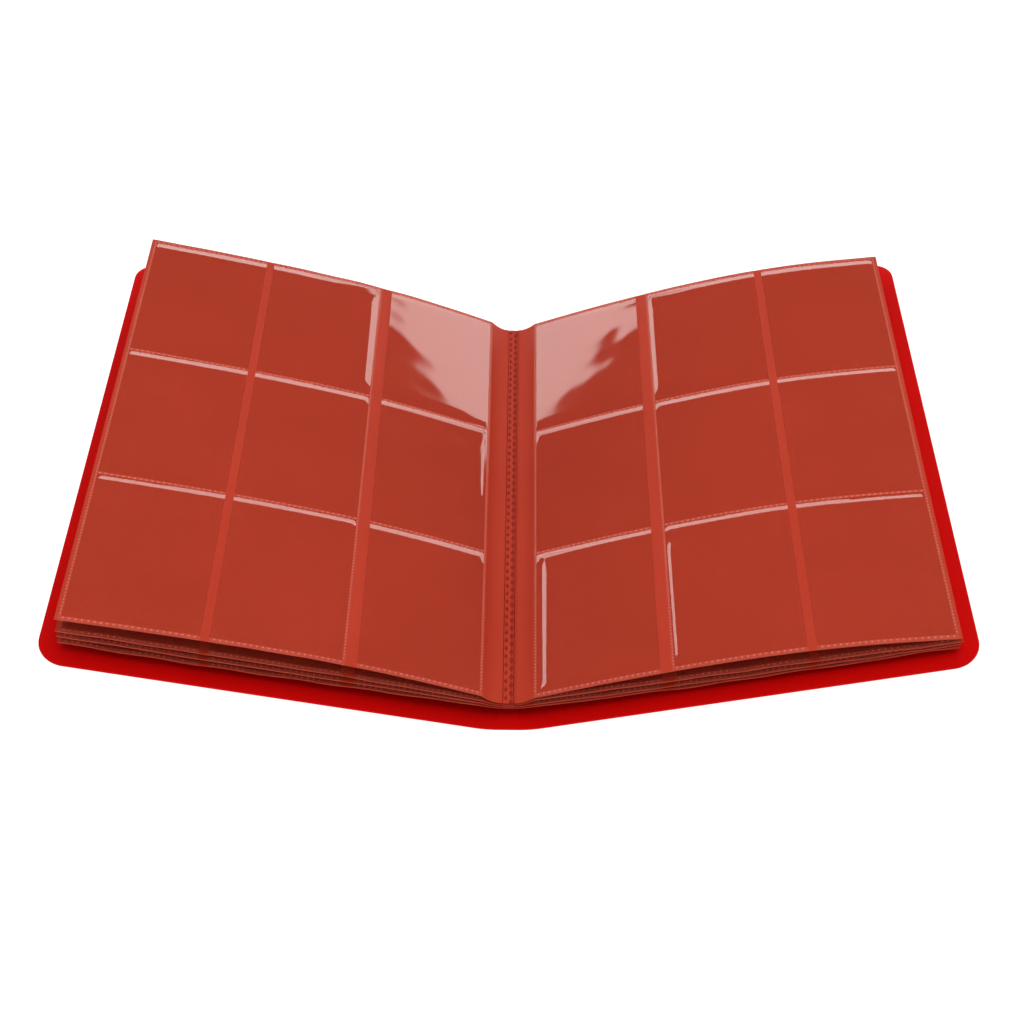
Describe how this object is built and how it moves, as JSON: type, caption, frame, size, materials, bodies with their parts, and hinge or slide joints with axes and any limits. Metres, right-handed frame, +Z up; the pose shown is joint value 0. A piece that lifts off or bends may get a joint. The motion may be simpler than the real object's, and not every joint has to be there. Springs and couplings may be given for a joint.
{
  "type": "trading card binder",
  "caption": "Side-loading card binder lying open in a shallow V: soft one-piece cover with rounded corners and welded leaves with film pockets in a grid on both faces.",
  "frame": {"origin": "middle of the flat underside of the spine, on the surface the open binder rests on", "axes": "+X across the open binder from the front half to the back half, +Y along the spine from the foot of a page to its head, +Z up"},
  "size_m": [0.466, 0.2946, 0.0882],
  "materials": {
    "cover": "fine matte polypropylene",
    "core_sheet": "smooth satin polypropylene sheet",
    "film": "clear glossy polypropylene film"
  },
  "bodies": {
    "spine": {"spine_panel": "cover", "binding_strip": "core_sheet"},
    "front_cover": {"front_cover": "cover"},
    "back_cover": {"back_cover": "cover"},
    "front_leaf_1": {"front_leaf_1_core": "core_sheet", "front_leaf_1_upper_film_inner": "film", "front_leaf_1_upper_film_middle": "film", "front_leaf_1_upper_film_outer": "film", "front_leaf_1_lower_film_inner": "film", "front_leaf_1_lower_film_middle": "film", "front_leaf_1_lower_film_outer": "film"},
    "front_leaf_2": {"front_leaf_2_core": "core_sheet", "front_leaf_2_upper_film_inner": "film", "front_leaf_2_upper_film_middle": "film", "front_leaf_2_upper_film_outer": "film", "front_leaf_2_lower_film_inner": "film", "front_leaf_2_lower_film_middle": "film", "front_leaf_2_lower_film_outer": "film"},
    "front_leaf_3": {"front_leaf_3_core": "core_sheet", "front_leaf_3_upper_film_inner": "film", "front_leaf_3_upper_film_middle": "film", "front_leaf_3_upper_film_outer": "film", "front_leaf_3_lower_film_inner": "film", "front_leaf_3_lower_film_middle": "film", "front_leaf_3_lower_film_outer": "film"},
    "front_leaf_4": {"front_leaf_4_core": "core_sheet", "front_leaf_4_upper_film_inner": "film", "front_leaf_4_upper_film_middle": "film", "front_leaf_4_upper_film_outer": "film", "front_leaf_4_lower_film_inner": "film", "front_leaf_4_lower_film_middle": "film", "front_leaf_4_lower_film_outer": "film"},
    "back_leaf_1": {"back_leaf_1_core": "core_sheet", "back_leaf_1_upper_film_inner": "film", "back_leaf_1_upper_film_middle": "film", "back_leaf_1_upper_film_outer": "film", "back_leaf_1_lower_film_inner": "film", "back_leaf_1_lower_film_middle": "film", "back_leaf_1_lower_film_outer": "film"},
    "back_leaf_2": {"back_leaf_2_core": "core_sheet", "back_leaf_2_upper_film_inner": "film", "back_leaf_2_upper_film_middle": "film", "back_leaf_2_upper_film_outer": "film", "back_leaf_2_lower_film_inner": "film", "back_leaf_2_lower_film_middle": "film", "back_leaf_2_lower_film_outer": "film"},
    "back_leaf_3": {"back_leaf_3_core": "core_sheet", "back_leaf_3_upper_film_inner": "film", "back_leaf_3_upper_film_middle": "film", "back_leaf_3_upper_film_outer": "film", "back_leaf_3_lower_film_inner": "film", "back_leaf_3_lower_film_middle": "film", "back_leaf_3_lower_film_outer": "film"},
    "back_leaf_4": {"back_leaf_4_core": "core_sheet", "back_leaf_4_upper_film_inner": "film", "back_leaf_4_upper_film_middle": "film", "back_leaf_4_upper_film_outer": "film", "back_leaf_4_lower_film_inner": "film", "back_leaf_4_lower_film_middle": "film", "back_leaf_4_lower_film_outer": "film"}
  },
  "joints": [
    {"name": "front_cover_hinge", "type": "hinge", "parent": "spine", "child": "front_cover", "pos_m": [-0.00867, 0, 0.0028], "axis": [0, -1, 0], "range_deg": [-66, 15]},
    {"name": "front_leaf_4_hinge", "type": "hinge", "parent": "spine", "child": "front_leaf_4", "pos_m": [-0.0065, 0, 0.0129], "axis": [0, -1, 0], "range_deg": [-67, 15.5]},
    {"name": "front_leaf_3_hinge", "type": "hinge", "parent": "front_leaf_4", "child": "front_leaf_3", "pos_m": [-0.0022, 0, 0.011], "axis": [0, 1, 0], "range_deg": [0, 6]},
    {"name": "front_leaf_2_hinge", "type": "hinge", "parent": "front_leaf_3", "child": "front_leaf_2", "pos_m": [-0.0022, 0, 0.0126], "axis": [0, 1, 0], "range_deg": [0, 8]},
    {"name": "front_leaf_1_hinge", "type": "hinge", "parent": "front_leaf_2", "child": "front_leaf_1", "pos_m": [-0.0022, 0, 0.0142], "axis": [0, 1, 0], "range_deg": [0, 18]},
    {"name": "back_cover_hinge", "type": "hinge", "parent": "spine", "child": "back_cover", "pos_m": [0.00867, 0, 0.0028], "axis": [0, 1, 0], "range_deg": [-66, 16.3]},
    {"name": "back_leaf_4_hinge", "type": "hinge", "parent": "spine", "child": "back_leaf_4", "pos_m": [0.0065, 0, 0.0129], "axis": [0, 1, 0], "range_deg": [-68.5, 17]},
    {"name": "back_leaf_3_hinge", "type": "hinge", "parent": "back_leaf_4", "child": "back_leaf_3", "pos_m": [0.0022, 0, 0.011], "axis": [0, -1, 0], "range_deg": [0, 6]},
    {"name": "back_leaf_2_hinge", "type": "hinge", "parent": "back_leaf_3", "child": "back_leaf_2", "pos_m": [0.0022, 0, 0.0126], "axis": [0, -1, 0], "range_deg": [0, 8]},
    {"name": "back_leaf_1_hinge", "type": "hinge", "parent": "back_leaf_2", "child": "back_leaf_1", "pos_m": [0.0022, 0, 0.0142], "axis": [0, -1, 0], "range_deg": [0, 110]}
  ],
  "couplings": [
    {"joint": "front_leaf_4_hinge", "follows": "front_cover_hinge", "ratio": 1.01},
    {"joint": "back_leaf_4_hinge", "follows": "back_cover_hinge", "ratio": 1.03}
  ]
}
